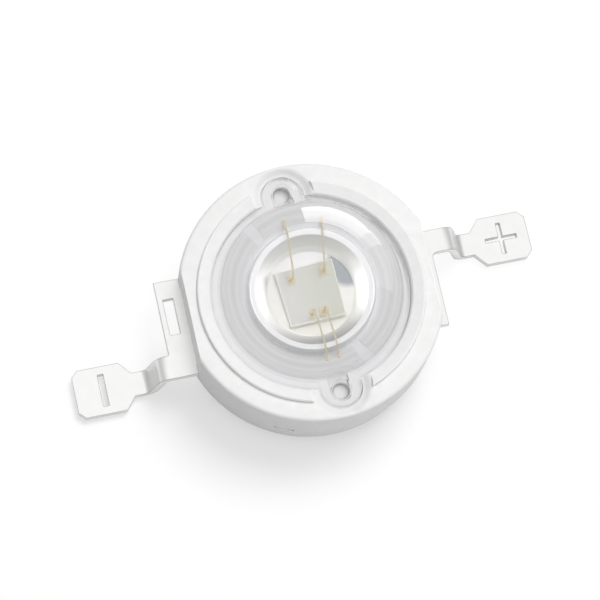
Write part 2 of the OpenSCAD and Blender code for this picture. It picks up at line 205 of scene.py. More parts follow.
def turn(name: str, profile: list[Point], steps: int = 256) -> Shape:
    """Turns a closed profile about the Z axis, as on a lathe.

    Args:
        name: Name of the new object.
        profile: Corners as (radius, height).
        steps: Flat steps round the axis.

    Returns:
        The closed turned shape.
    """
    shape = draw(name, [(r, 0.0, z) for r, z in profile])
    bpy.ops.mesh.spin(steps=steps, angle=math.tau, center=(0, 0, 0), axis=(0, 0, 1))
    return close_up(shape)


def prism(name: str, outline: list[Point], low: float, high: float) -> Shape:
    """Raises a flat outline into a straight-sided block.

    Args:
        name: Name of the new object.
        outline: Corners in plan.
        low: Height of its underside.
        high: Height of its top.

    Returns:
        The closed block.
    """
    shape = draw(name, [(x, y, low) for x, y in outline])
    bpy.ops.mesh.edge_face_add()
    bpy.ops.mesh.extrude_region_move(TRANSFORM_OT_translate={"value": (0, 0, high - low)})
    return close_up(shape)


def block(name: str, low: Place, high: Place) -> Shape:
    """Makes a square-cornered block between two corners.

    Args:
        name: Name of the new object.
        low: Its lowest corner.
        high: Its highest corner.

    Returns:
        The block.
    """
    outline = [(low[0], low[1]), (high[0], low[1]), (high[0], high[1]), (low[0], high[1])]
    return prism(name, outline, low[2], high[2])


def modify(shape: Shape, kind: str, **settings: object) -> None:
    """Puts one modifier on a shape and applies it.

    Args:
        shape: The shape.
        kind: The modifier's type name.
        **settings: The modifier's own properties.
    """
    take(shape)
    change = shape.modifiers.new(kind, kind)
    for name, value in settings.items():
        setattr(change, name, value)
    bpy.ops.object.modifier_apply(modifier=change.name)


def work(shape: Shape, tool: Shape, blend: Blend) -> None:
    """Works a tool shape into another shape and clears the tool away.

    Args:
        shape: What is kept.
        tool: What is used up.
        blend: Whether the tool cuts, joins or limits the shape.
    """
    modify(shape, "BOOLEAN", operation=blend.value, object=tool, solver="EXACT")
    bpy.data.objects.remove(tool, do_unlink=True)


def baked(shape: Shape, degrees: float = 0, along_x: float = 0, scale: float = 1) -> Shape:
    """Turns, moves or scales a shape and bakes that into its mesh.

    Args:
        shape: The shape.
        degrees: The turn about the Z axis, anticlockwise from above.
        along_x: The move along the X axis.
        scale: The factor that it grows by.

    Returns:
        The same shape.
    """
    take(shape)
    shape.rotation_euler.z = math.radians(degrees)
    shape.location.x = along_x
    shape.scale = (scale,) * 3
    bpy.ops.object.transform_apply()
    return shape


def to_frame(shape: Shape, node: str, slot: Slot, *materials: bpy.types.Material) -> None:
    """Finishes a bench shape: scales it into the frame, smooths, dresses and rides it on the body.

    Args:
        shape: The shape in millimetres.
        node: The CAD node that it stands for.
        slot: Not used.
        *materials: Its finish, and the one of its second kind of face if it has them.
    """
    baked(shape, scale=MM)
    bpy.ops.object.shade_smooth_by_angle(angle=math.radians(SMOOTH_TO))
    modify(shape, "WEIGHTED_NORMAL", keep_sharp=True, weight=LARGE_FACE_WEIGHT)
    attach(shape, "root")
    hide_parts(node)
    dress(shape, *materials)
    triangles = sum(len(p.vertices) - 2 for p in shape.data.polygons)
    log.info("%s: %d triangles for %s", shape.name, triangles, node)


# ---- finishes ------------------------------------------------------------------------------


def linear(code: str) -> tuple[float, float, float, float]:
    """Turns an sRGB hex colour into linear light.

    Args:
        code: Six hex digits.

    Returns:
        Red, green, blue and full opacity.
    """
    parts = [int(code[i : i + 2], 16) / 255 for i in (0, 2, 4)]
    low = [p / 12.92 if p <= 0.04045 else ((p + 0.055) / 1.055) ** 2.4 for p in parts]
    return (low[0], low[1], low[2], 1.0)


def grain(size_mm: float) -> float:
    """The texture scale whose features are this many millimetres wide."""
    return 1 / (size_mm * MM)


def ends(side: str, span: Span, unit: float = 1.0) -> dict[str, float]:
    """Both ends of the From or the To side of a map range, in the given unit."""
    return {side + " Min": span[0] * unit, side + " Max": span[1] * unit}


def add_node(
    tree: bpy.types.NodeTree, kind: str, inputs: dict, out: str = "", **settings: object
) -> Socket | None:
    """Adds a node with its settings and links.

    Args:
        tree: The node tree that it goes in.
        kind: The node's type name, less the ShaderNode that each one starts with.
        inputs: Values, hex colours or sockets, by the name or number of the input they feed.
        out: The output that is wanted, if not the first one in use.
        **settings: The node's own properties.

    Returns:
        The wanted output, or nothing where the node has none.
    """
    made = tree.nodes.new("ShaderNode" + kind)
    for name, value in settings.items():
        setattr(made, name, value)
    for key, value in inputs.items():
        if isinstance(value, Socket):
            tree.links.new(value, made.inputs[key])
        else:
            made.inputs[key].default_value = linear(value) if isinstance(value, str) else value
    in_use = [socket for socket in made.outputs if not socket.is_unavailable]
    return made.outputs[out] if out else next(iter(in_use), None)


def blank(name: str) -> tuple[bpy.types.Material, Callable]:
    """Starts a material with no nodes.

    Args:
        name: The material's name.

    Returns:
        The material, and the function add_node bound to its tree.
    """
    material = bpy.data.materials.new(name)
    material.use_nodes = True
    material.node_tree.nodes.clear()
    return material, partial(add_node, material.node_tree)


@dataclass(frozen=True)
class MouldedNylon:
    """White filled high-temperature nylon, moulded in a spark-eroded tool.

    It gives a chalky white with a fine pebbled skin, a broad weak sheen and soft moulded edges,
    a painted glint that glows along the convex edges, painted shade that greys the tightest
    corners, less of it on the rim's top, and a skin a little greyer in the well, where the gel wets
    it.
    """

    name: str = "moulded_white_nylon"
    colour: str = "F9F9F9"
    warm: str = "EEEEED"
    wetted: str = "EEEEEF"
    corner_shade_colour: str = "747474"
    index: float = 1.53
    well_r_mm: float = 2.75
    cloud_mm: float = 0.3
    pebble_mm: float = 0.11
    pebble_depth_mm: float = 0.009
    pebble_share: float = 0.6
    edge_mm: float = 0.035
    roughness: Span = (0.44, 0.58)
    corner_mm: float = 0.2
    corner_shut: Span = (0.22, 0.58)
    edge_glint_mm: float = 0.07
    edge_glint_open: Span = (0.8, 0.35)
    edge_glint: float = 0.22
    rim_mm: Span = (2.75, 2.9)
    rim_share: float = 0.6

    def material(self) -> bpy.types.Material:
        """Builds the material."""
        made, add = blank(self.name)
        place = add("TexCoord", {}, "Object")
        cloud = add("TexNoise", {"Vector": place, "Scale": grain(self.cloud_mm), "Detail": 3.0})
        clean = add("Mix", {"Factor": cloud, 6: self.colour, 7: self.warm}, data_type="RGBA")
        flat = add("VectorMath", {0: place, 1: PLAN}, operation="MULTIPLY")
        radius = add("VectorMath", {0: flat}, operation="LENGTH")
        in_well = add("Math", {0: radius, 1: self.well_r_mm * MM}, operation="LESS_THAN")
        skin = add("Mix", {"Factor": in_well, 6: clean, 7: self.wetted}, data_type="RGBA")
        # Painted shade: ambient occlusion greys the tightest corners, less on the rim's top.
        reach = {"Distance": self.corner_mm * MM}
        corner = add("AmbientOcclusion", reach, "AO", samples=BENCH_RAYS, only_local=True)
        open_air = add("MapRange", {"Value": corner, **ends("From", self.corner_shut)})
        height = add("SeparateXYZ", {"Vector": place}, "Z")
        rim = {**ends("From", self.rim_mm, MM), "To Max": self.rim_share}
        shade_eased_on_rim = add("MapRange", {"Value": height, **rim})
        unshaded_share = add("Math", {0: open_air, 1: shade_eased_on_rim}, operation="MAXIMUM")
        tint = add("Mix", {"Factor": unshaded_share, 6: self.corner_shade_colour, 7: skin}, data_type="RGBA")
        # Painted highlight: inside ambient occlusion finds the convex edges, and they glow as a
        # painted glint.
        reach = {"Distance": self.edge_glint_mm * MM}
        crest = add("AmbientOcclusion", reach, "AO", samples=BENCH_RAYS, only_local=True, inside=True)
        crests = {**ends("From", self.edge_glint_open), "To Max": self.edge_glint}
        edge_glint_glow = add("MapRange", {"Value": crest, **crests})
        pebble = add("TexNoise", {"Vector": place, "Scale": grain(self.pebble_mm), "Detail": 2.0})
        soft = add("Bevel", {"Radius": self.edge_mm * MM}, samples=BENCH_RAYS)
        relief = {"Strength": self.pebble_share, "Distance": self.pebble_depth_mm * MM}
        bump = add("Bump", {**relief, "Height": pebble, "Normal": soft})
        rough = add("MapRange", {"Value": pebble, **ends("To", self.roughness)})
        glow = {"Emission Color": tint, "Emission Strength": edge_glint_glow}
        surface = {"Base Color": tint, "Roughness": rough, "IOR": self.index, "Normal": bump}
        add("OutputMaterial", {"Surface": add("BsdfPrincipled", {**surface, **glow})})
        return made


@dataclass(frozen=True)
class SilverPlate:
    """Silver plating on rolled copper sheet: bright outside the body, matt on the bond shelves.

    It gives a near-white metal with a soft broad reflection, faint rolling lines and small
    dimples, greyer on steep faces, partly for the sheared edges' own duller finish and partly
    as painted shade, with a painted reflection of the dark horizon round the bends and painted
    dark shade lines along the rounded edges, and inside the body a chalky grey with faint rings,
    as spot plating leaves.
    """

    name: str = "silver_plated_sheet"
    colour: str = "F6F6F5"
    sheared_and_shade_colour: str = "E0E0DF"
    edge_shade_colour: str = "A8A8A7"
    shelf_colour: str = "F7F7F7"
    ring_colour: str = "EBEBEB"
    roughness: Span = (0.26, 0.44)
    shelf_roughness: float = 0.55
    shelf_metallic: float = 0.3
    shelf_r_mm: float = 2.9
    line_mm: float = 0.03
    line_run: float = 0.03
    dimple_mm: float = 0.25
    dimple_share: float = 0.6
    depth_mm: float = 0.0012
    depth_share: float = 0.5
    ring_mm: float = 0.22
    ring_depth_mm: float = 0.012
    ring_edge: Span = (0.35, 0.65)
    edge_mm: float = 0.02
    steep: Span = (0.92, 0.3)
    edge_shade_mm: float = 0.045
    edge_shade_rays: int = 8
    edge_shade_turn: Span = (0.99, 0.85)

    def material(self) -> bpy.types.Material:
        """Builds the material."""
        made, add = blank(self.name)
        place = add("TexCoord", {}, "Object")
        facing = add("SeparateXYZ", {"Vector": add("TexCoord", {}, "Normal")}, "Z")
        level = add("Math", {0: facing}, operation="ABSOLUTE")
        steep = add("MapRange", {"Value": level, **ends("From", self.steep)})
        flat = add("VectorMath", {0: place, 1: PLAN}, operation="MULTIPLY")
        radius = add("VectorMath", {0: flat}, operation="LENGTH")
        inside = add("Math", {0: radius, 1: self.shelf_r_mm * MM}, operation="LESS_THAN")
        along = add("Mapping", {"Vector": place, "Scale": (self.line_run, 1.0, 1.0)})
        lines = add("TexNoise", {"Vector": along, "Scale": grain(self.line_mm), "Detail": 2.0})
        dimples = add("TexNoise", {"Vector": place, "Scale": grain(self.dimple_mm), "Detail": 4.0})
        relief = add("Mix", {"Factor": self.dimple_share, 2: lines, 3: dimples}, data_type="FLOAT")
        ripple = {"W": radius, "Scale": grain(self.ring_mm), "Detail": 5.0}
        rings = add("TexNoise", ripple, noise_dimensions="1D")
        soft = add("Bevel", {"Radius": self.edge_mm * MM}, samples=BENCH_RAYS)
        rolling = {"Strength": self.depth_share, "Distance": self.depth_mm * MM}
        rolled = add("Bump", {**rolling, "Height": relief, "Normal": soft})
        ringing = {"Strength": inside, "Distance": self.ring_depth_mm * MM}
        bump = add("Bump", {**ringing, "Height": rings, "Normal": rolled})
        rough = add("MapRange", {"Value": dimples, **ends("To", self.roughness)})
        matt = add("Mix", {"Factor": inside, 2: rough, 3: self.shelf_roughness}, data_type="FLOAT")
        metallic = add("Mix", {"Factor": inside, 2: 1.0, 3: self.shelf_metallic}, data_type="FLOAT")
        # Steep faces turn greyer: partly the sheared edges' own duller finish, partly painted shade,
        # and round the bends a painted reflection of the dark horizon.
        sheet = {6: self.colour, 7: self.sheared_and_shade_colour}
        sheared_and_shaded = add("Mix", {"Factor": steep, **sheet}, data_type="RGBA")
        # Painted shade: dark lines where the rounded edges turn away from the flat face.
        rounded = add("Bevel", {"Radius": self.edge_shade_mm * MM}, samples=self.edge_shade_rays)
        face = add("NewGeometry", {}, "True Normal")
        agree = add("VectorMath", {0: rounded, 1: face}, operation="DOT_PRODUCT")
        edge_shade = add("MapRange", {"Value": agree, **ends("From", self.edge_shade_turn)})
        edge_shaded = add("Mix", {"Factor": edge_shade, 6: sheared_and_shaded, 7: self.edge_shade_colour}, data_type="RGBA")
        streaks = add("MapRange", {"Value": rings, **ends("From", self.ring_edge)})
        shelves = {6: self.shelf_colour, 7: self.ring_colour}
        shelf = add("Mix", {"Factor": streaks, **shelves}, data_type="RGBA")
        tint = add("Mix", {"Factor": inside, 6: edge_shaded, 7: shelf}, data_type="RGBA")
        surface = {"Base Color": tint, "Metallic": metallic, "Roughness": matt, "Normal": bump}
        add("OutputMaterial", {"Surface": add("BsdfPrincipled", surface)})
        return made


@dataclass(frozen=True)
class TurnedSilver:
    """Matt silver plating over turned copper.

    It gives a pale cup whose rings follow the lathe tool round the axis. Its tone runs from warm
    to cool across the cup, the near wall is darkened by painted shade, and a painted dark
    reflection lies on one patch of the floor.
    """

    name: str = "turned_silver_plate"
    warm: str = "F9F8F2"
    cool: str = "E9E8EA"
    plain: str = "F2F2F2"
    wall_shade: str = "C1C0C4"
    dark_reflection: str = "B2B5B9"
    dark_reflection_at_mm: Point = (0.82, 0.44)
    dark_reflection_r_mm: float = 0.45
    dark_reflection_edge_mm: float = 0.12
    cup_r_mm: float = 1.18
    floor_r_mm: float = 0.88
    cool_across: Span = (-0.2, 1.0)
    wall_shade_across: Span = (-0.5, -0.9)
    metallic: float = 0.96
    roughness: Span = (0.42, 0.54)
    ring_mm: float = 0.05
    depth_mm: float = 0.0006
    depth_share: float = 0.5

    def material(self) -> bpy.types.Material:
        """Builds the material; the two tones lie across the cup, in shares of its radius."""
        made, add = blank(self.name)
        place = add("TexCoord", {}, "Object")
        flat = add("VectorMath", {0: place, 1: PLAN}, operation="MULTIPLY")
        radius = add("VectorMath", {0: flat}, operation="LENGTH")
        ripple = {"W": radius, "Scale": grain(self.ring_mm), "Detail": 3.0}
        rings = add("TexNoise", ripple, noise_dimensions="1D")
        relief = {"Strength": self.depth_share, "Distance": self.depth_mm * MM}
        bump = add("Bump", {**relief, "Height": rings})
        across = add("SeparateXYZ", {"Vector": place}, "Y")
        reach = self.cup_r_mm * MM
        tone = add("MapRange", {"Value": across, **ends("From", self.cool_across, reach)})
        plating = add("Mix", {"Factor": tone, 6: self.warm, 7: self.cool}, data_type="RGBA")
        middle = (self.floor_r_mm + self.cup_r_mm) / 2
        band = {1: middle * MM, 2: (self.cup_r_mm - middle) * MM}
        on_wall = add("Math", {0: radius, **band}, operation="COMPARE")
        # Painted shade: the near side of the cup wall is mixed towards a grey.
        side = {**ends("From", self.wall_shade_across, reach), "To Max": on_wall}
        wall_shade_share = add("MapRange", {"Value": across, **side})
        wall = add("Mix", {"Factor": wall_shade_share, 6: self.plain, 7: self.wall_shade}, data_type="RGBA")
        on_floor = add("Math", {0: radius, 1: self.floor_r_mm * MM}, operation="LESS_THAN")
        base = add("Mix", {"Factor": on_floor, 6: wall, 7: plating}, data_type="RGBA")
        # Painted reflection: a dark patch on the floor stands for something dark that the floor
        # mirrors.
        spot = (self.dark_reflection_at_mm[0] * MM, self.dark_reflection_at_mm[1] * MM, 0.0)
        off = add("VectorMath", {0: flat, 1: spot}, operation="DISTANCE")
        edge = (self.dark_reflection_r_mm - self.dark_reflection_edge_mm, self.dark_reflection_r_mm)
        fade = {**ends("From", edge, MM), **ends("To", (1.0, 0.0))}
        reflection_fade = add("MapRange", {"Value": off, **fade})
        reflection_on_floor = add("Math", {0: reflection_fade, 1: on_floor}, operation="MULTIPLY")
        tint = add("Mix", {"Factor": reflection_on_floor, 6: base, 7: self.dark_reflection}, data_type="RGBA")
        rough = add("MapRange", {"Value": rings, **ends("To", self.roughness)})
        surface = {"Base Color": tint, "Metallic": self.metallic, "Roughness": rough, "Normal": bump}
        add("OutputMaterial", {"Surface": add("BsdfPrincipled", surface)})
        return made


@dataclass(frozen=True)
class ClearPolycarbonate:
    """Optical polycarbonate, injection moulded in a polished tool.

    It gives a clean outline, darkened by painted shade where the surface turns away from the view,
    sharp reflections and a magnified view of what lies under it.
    The index is that of the lens and the gel together, because they are in optical contact.
    """

    name: str = "polished_polycarbonate"
    colour: str = "FDFDFE"
    shade_colour: str = "F8F8F9"
    index: float = 1.5
    wave_mm: float = 1.1
    wave_depth_mm: float = 0.002
    wave_share: float = 0.3
    outline: str = "8A8A8C"
    dark_rim_from: float = 0.88

    def material(self) -> bpy.types.Material:
        """Builds the material; shadow and diffuse rays pass straight, so lamps light the inside."""
        made, add = blank(self.name)
        place = add("TexCoord", {}, "Object")
        wave = add("TexNoise", {"Vector": place, "Scale": grain(self.wave_mm), "Detail": 1.0})
        relief = {"Strength": self.wave_share, "Distance": self.wave_depth_mm * MM}
        bump = add("Bump", {**relief, "Height": wave})
        # Painted shade: the tint darkens where the surface turns away from the view, drawing a dark
        # outline.
        slant = add("LayerWeight", {"Blend": 0.5, "Normal": bump}, "Facing")
        rim = add("MapRange", {"Value": slant, **ends("From", (self.dark_rim_from, 1.0))})
        tint = add("Mix", {"Factor": rim, 6: self.colour, 7: self.outline}, data_type="RGBA")
        clear = {"Roughness": 0.0, "IOR": self.index, "Transmission Weight": 1.0}
        glass = add("BsdfPrincipled", {"Base Color": tint, **clear, "Normal": bump})
        straight = add("BsdfTransparent", {"Color": self.shade_colour})
        rays = {0: add("LightPath", {}, "Is Shadow Ray"), 1: add("LightPath", {}, "Is Diffuse Ray")}
        passes = add("Math", rays, operation="MAXIMUM")
        add("OutputMaterial", {"Surface": add("MixShader", {0: passes, 1: glass, 2: straight})})
        return made


@dataclass(frozen=True)
class WettedFace:
    """A face where the lens and the gel touch.

    Both have about the same index, so the face can hardly be seen.
    """

    name: str = "wetted_face"
    colour: str = "FCFCFC"

    def material(self) -> bpy.types.Material:
        """Builds the material."""
        made, add = blank(self.name)
        clear = add("BsdfTransparent", {"Color": self.colour})
        add("OutputMaterial", {"Surface": clear})
        return made


@dataclass(frozen=True)
class FineMetal:
    """A metal part too small to show more than a broken sheen."""

    name: str
    colour: str
    metallic: float
    roughness: Span
    mark_mm: float

    def material(self) -> bpy.types.Material:
        """Builds the material."""
        made, add = blank(self.name)
        place = add("TexCoord", {}, "Object")
        marks = add("TexNoise", {"Vector": place, "Scale": grain(self.mark_mm), "Detail": 2.0})
        rough = add("MapRange", {"Value": marks, **ends("To", self.roughness)})
        surface = {"Base Color": self.colour, "Metallic": self.metallic, "Roughness": rough}
        add("OutputMaterial", {"Surface": add("BsdfPrincipled", surface)})
        return made


@dataclass(frozen=True)
class GoldWire(FineMetal):
    """Drawn gold wire and evaporated gold pads.

    It gives a pale warm yellow with a tight highlight.
    """

    name: str = "bond_gold"
    colour: str = "F6ECD4"
    metallic: float = 0.6
    roughness: Span = (0.45, 0.65)
    mark_mm: float = 0.02


@dataclass(frozen=True)
class SilverPaste(FineMetal):
    """Silver-filled epoxy, cured.

    It gives a matt grey line of tiny flakes round the chip.
    """

    name: str = "silver_epoxy"
    colour: str = "F0EFEA"
    metallic: float = 0.3
    roughness: Span = (0.4, 0.75)
    mark_mm: float = 0.015


@dataclass(frozen=True)
class GrownChip:
    """Gallium nitride grown on sapphire, lapped and polished.

    It gives a pale warm white gloss that its layers cloud a little, with a grey green painted
    across part of the crystal as a reflection. Its sawn sides glow with painted light, standing
    for light that the clear crystal passes.
    """

    name: str = "nitride_chip"
    white: str = "E9E7E5"
    painted_green: str = "DADCCD"
    index: float = 2.0
    side_mm: float = 1.13
    painted_green_across: Span = (-1.0, 0.4)
    cloud_mm: float = 0.5
    cloud_share: float = 0.3
    roughness: float = 0.22
    side_up: Span = (0.2, 0.6)
    side_glow: float = 0.32

    def material(self) -> bpy.types.Material:
        """Builds the material; the painted green sets in across the chip, in shares of half its side.
        """
        made, add = blank(self.name)
        place = add("TexCoord", {}, "Object")
        # Painted light: the upright sawn sides glow, standing for light that the clear crystal
        # passes.
        upward = add("SeparateXYZ", {"Vector": add("TexCoord", {}, "Normal")}, "Z")
        sides = {**ends("From", self.side_up), **ends("To", (self.side_glow, 0.0))}
        glow = add("MapRange", {"Value": upward, **sides})
        cloud = add("TexNoise", {"Vector": place, "Scale": grain(self.cloud_mm), "Detail": 2.0})
        # Painted reflection: a grey green veil laid across part of the chip.
        across = add("SeparateXYZ", {"Vector": place}, "X")
        half = self.side_mm * MM / 2
        run = add("MapRange", {"Value": across, **ends("From", self.painted_green_across, half)})
        share = add("Mix", {"Factor": self.cloud_share, 2: run, 3: cloud}, data_type="FLOAT")
        tint = add("Mix", {"Factor": share, 6: self.white, 7: self.painted_green}, data_type="RGBA")
        glowing = {"Emission Color": tint, "Emission Strength": glow}
        surface = {"Base Color": tint, "Roughness": self.roughness, "IOR": self.index}
        add("OutputMaterial", {"Surface": add("BsdfPrincipled", {**surface, **glowing})})
        return made


def sort_faces(shape: Shape, is_second: Callable) -> None:
    """Makes two material slots; the faces picked by the given test take the second one."""
    for _ in range(2):
        shape.data.materials.append(None)
    for face in shape.data.polygons:
        face.material_index = int(is_second(face))


def dress(piece: Shape, *materials: bpy.types.Material) -> None:
    """Gives a piece or a CAD node its materials, one for each of its slots."""
    while len(piece.data.materials) < len(materials):
        piece.data.materials.append(None)
    for number, material in enumerate(materials):
        piece.data.materials[number] = material


# ---- sub-assemblies ------------------------------------------------------------------------


def size_of(node: str) -> tuple[Vector, Vector]:
    """The lowest and highest corner of a CAD node, in millimetres."""
    low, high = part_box(node)
    return low / MM, high / MM


@dataclass
class Package:
    """Heights and radii that several pieces share, in millimetres and degrees."""

    seat_r: float = 3.02
    flange_t: float = 0.3
    well_r: float = 2.35
    well_depth: float = 0.08
    pit_depth: float = 0.35
    hollow_r: float = 2.35
    lens_wall: float = 0.8
    base_h: float = 0.5
    waist_r: float = 2.4
    waist_top: float = 0.72
    collar_r: float = 2.6
    collar_top: float = 1.0
    boss_r: float = 1.32
    cup_r: float = 1.18
    cup_floor_r: float = 0.88
    cup_depth: float = 0.25
    hole_r: float = 0.32
    hole_from_tip: float = 0.52
    wetting_gap: float = 0.004
    sheet_t: float = 0.25
    ear_turn: float = 94.0
    ear_r: float = 0.62
    ear_rise: float = 0.1
    lip_h: float = 0.13
    body_r: float = field(init=False)
    flat_x: float = field(init=False)
    skirt_z: float = field(init=False)
    rim_z: float = field(init=False)
    boss_top: float = field(init=False)
    slug_r: float = field(init=False)
    lens_top: float = field(init=False)
    seat_z: float = field(init=False)
    ear_reach: float = field(init=False)

    def __post_init__(self) -> None:
        """Reads the outer sizes from the frame."""
        low, high = size_of("housing")
        self.body_r = high.y
        self.flat_x = high.x
        self.skirt_z = low.z
        self.rim_z = high.z - self.lip_h
        slug = size_of("heat_slug")[1]
        self.boss_top = slug.z
        self.slug_r = slug.x
        lens_low, lens_high = size_of("lens")
        self.lens_top = lens_high.z
        self.seat_z = lens_low.z
        turn_from_y = math.radians(self.ear_turn - 90)
        tip = lens_high.y - self.ear_r
        self.ear_reach = tip / math.cos(turn_from_y) + self.ear_r

    @property
    def ear_c(self) -> float:
        """Distance from the axis to the middle of an ear's round end."""
        return self.ear_reach - self.ear_r

    @property
    def hole_c(self) -> float:
        """Distance from the axis to the middle of an ear's gel hole."""
        return self.ear_reach - self.hole_from_tip

    @property
    def shelf_top(self) -> float:
        """Height of the well's floor, where the bond shelves lie."""
        return self.seat_z - self.well_depth

    @property
    def ear_top(self) -> float:
        """Height of the ears' top."""
        return self.seat_z + self.flange_t + self.ear_rise

    @property
    def hollow_z(self) -> float:
        """Height of the middle of the lens's round hollow."""
        return self.lens_top - self.lens_wall - self.hollow_r

    def slug_side(self) -> list[Point]:
        """The slug's stepped side, from its base up to the boss."""
        return [
            (self.slug_r, self.base_h),
            (self.waist_r, self.base_h),
            (self.waist_r, self.waist_top),
            (self.collar_r, self.waist_top),
            (self.collar_r, self.collar_top),
            (self.boss_r, self.collar_top),
        ]

    def ear_outline(self, gap: float, start: float = 0.0) -> list[Point]:
        """An ear in plan, along +X from where it starts, grown by a gap."""
        reach = self.ear_r + gap
        return [(start, -reach), *arc((self.ear_c, 0.0), reach, -90, 90, 32), (start, reach)]


@dataclass
class Moulding:
    """The white housing: a turned body with lands, a lens seat and dished ear scoops."""

    package: Package
    finish: MouldedNylon = MouldedNylon()
    steps: int = 288
    rim_round: float = 0.12
    draft: float = 0.08
    parting_step: float = 0.03
    parting_z: float = 1.3
    skirt_bevel: float = 0.1
    lip_w: float = 0.41
    lip_round: float = 0.06
    lip_dish: float = 0.05
    lip_root: float = 0.1
    lip_ease: Point = (0.02, 0.012)
    lip_gap: float = 32.0
    ear_gap: float = 0.05
    scoop_w: float = 0.28
    scoop_depth: float = 0.16
    tie_turn: float = 67.0
    tie_w: float = 0.63
    tie_h: float = 0.33
    tie_recess: float = 0.08
    tie_groove: float = 0.07

    def section(self) -> list[Point]:
        """The body's section from the skirt, up the wall and back down its bore."""
        p = self.package
        wall = p.body_r - self.parting_step
        foot = wall - self.draft
        soft = self.rim_round
        rim = arc((p.body_r - soft, p.rim_z - soft), soft, 0, 90, 8)
        floor = p.shelf_top - p.wetting_gap
        return [
            (foot - self.skirt_bevel, p.skirt_z),
            (foot, p.skirt_z + self.skirt_bevel),
            (wall, self.parting_z),
            (p.body_r, self.parting_z),
            *rim,
            (p.seat_r + self.lip_dish, p.rim_z),
            (p.seat_r, p.rim_z - self.lip_dish),
            (p.seat_r, p.seat_z),
            (p.well_r, p.seat_z),
            (p.well_r, floor),
            (p.boss_r, floor),
            *reversed(p.slug_side()),
            (p.slug_r, p.skirt_z),
        ]

    def land(self, start: float) -> Shape:
        """One raised land: a piece of dished ring with round ends.

        Args:
            start: Angle at which it starts; it runs half round, less the gap at the ears.

        Returns:
            The land as a closed shape.
        """
        p = self.package
        outer = p.seat_r + self.lip_w
        top = p.rim_z + p.lip_h
        root = p.seat_z + self.lip_root
        dish = p.rim_z - self.lip_dish
        section = [
            (p.seat_r, root),
            (outer, root),
            *arc((outer - self.lip_round, top - self.lip_round), self.lip_round, 0, 100, 8),
            (p.seat_r + self.lip_ease[0], dish + self.lip_ease[1]),
            (p.seat_r, dish),
        ]
        ring = turn("land", section, self.steps)
        end = start + 180 - self.lip_gap
        middle = p.seat_r + self.lip_w / 2
        half = self.lip_w / 2 + 2 * MERGE
        low, high = math.radians(start), math.radians(end)
        first = (middle * math.cos(low), middle * math.sin(low))
        last = (middle * math.cos(high), middle * math.sin(high))
        plan = [
            *arc((0.0, 0.0), middle + half, start, end, 96),
            *arc(last, half, end, end + 180, 16)[1:-1],
            *arc((0.0, 0.0), middle - half, end, start, 96),
            *arc(first, half, start + 180, start + 360, 16)[1:-1],
        ]
        work(ring, prism("plan", plan, p.seat_z, top + 0.1), Blend.KEEP)
        return ring

    def ear_tools(self) -> list[Shape]:
        """The pocket, the gel channel and the dished scoop at both ears."""
        p = self.package
        rim_cut = p.rim_z + 1
        tools = []
        inner = p.ear_r + self.ear_gap
        outer = inner + self.scoop_w
        bowl = [(0.0, p.rim_z - self.scoop_depth), (inner, p.rim_z - self.scoop_depth)]
        for share in (i / 10 for i in range(1, 11)):
            sink = self.scoop_depth * (1 + math.cos(math.pi * share)) / 2
            bowl.append((inner + self.scoop_w * share, p.rim_z - sink))
        bowl += [(outer, p.rim_z + 0.6), (0.0, p.rim_z + 0.6)]
        for side in BOTH_SIDES:
            low = (p.well_r - 0.1, -p.hole_r, p.shelf_top - p.wetting_gap)
            pit = arc((p.hole_c, 0.0), p.hole_r, 0, 345, 23)
            made = (
                prism("pocket", p.ear_outline(self.ear_gap), p.seat_z, rim_cut),
                block("channel", low, (p.hole_c, p.hole_r, p.seat_z + 0.01)),
                prism("pit", pit, p.seat_z - p.pit_depth, p.seat_z + 0.01),
                baked(turn("scoop", bowl, 96), along_x=p.ear_c),
            )
            tools += [baked(tool, p.ear_turn + side) for tool in made]
        return tools

    def wall_tools(self) -> list[Shape]:
        """The two flats and the notches at the sheared tie bars."""
        p = self.package
        far = p.body_r + 1
        half_w, half_h = self.tie_w / 2, self.tie_h / 2
        bottom = p.body_r - self.tie_recess - self.tie_groove
        middle = self.parting_z + p.sheet_t / 2
        tools = []
        for side in BOTH_SIDES:
            flat = block("flat", (p.flat_x, -far, -1), (far, far, p.rim_z + 1))
            low, high = (bottom, -half_w, middle - half_h), (far, half_w, middle + half_h)
            notch = block("notch", low, high)
            tools += [baked(flat, side), baked(notch, self.tie_turn + side)]
        return tools

    def build(self) -> None:
        """Models the housing and closes the pinholes that the cuts leave."""
        body = turn("housing_moulding", self.section(), self.steps)
        for side in BOTH_SIDES:
            start = self.package.ear_turn + self.lip_gap / 2 + side
            work(body, self.land(start), Blend.JOIN)
        for tool in [*self.ear_tools(), *self.wall_tools()]:
            work(body, tool, Blend.CUT)
        open_up(body)
        bpy.ops.mesh.fill_holes(sides=5)
        bpy.ops.object.mode_set(mode="OBJECT")
        to_frame(body, "housing", Slot.MOULDING, self.finish.material())


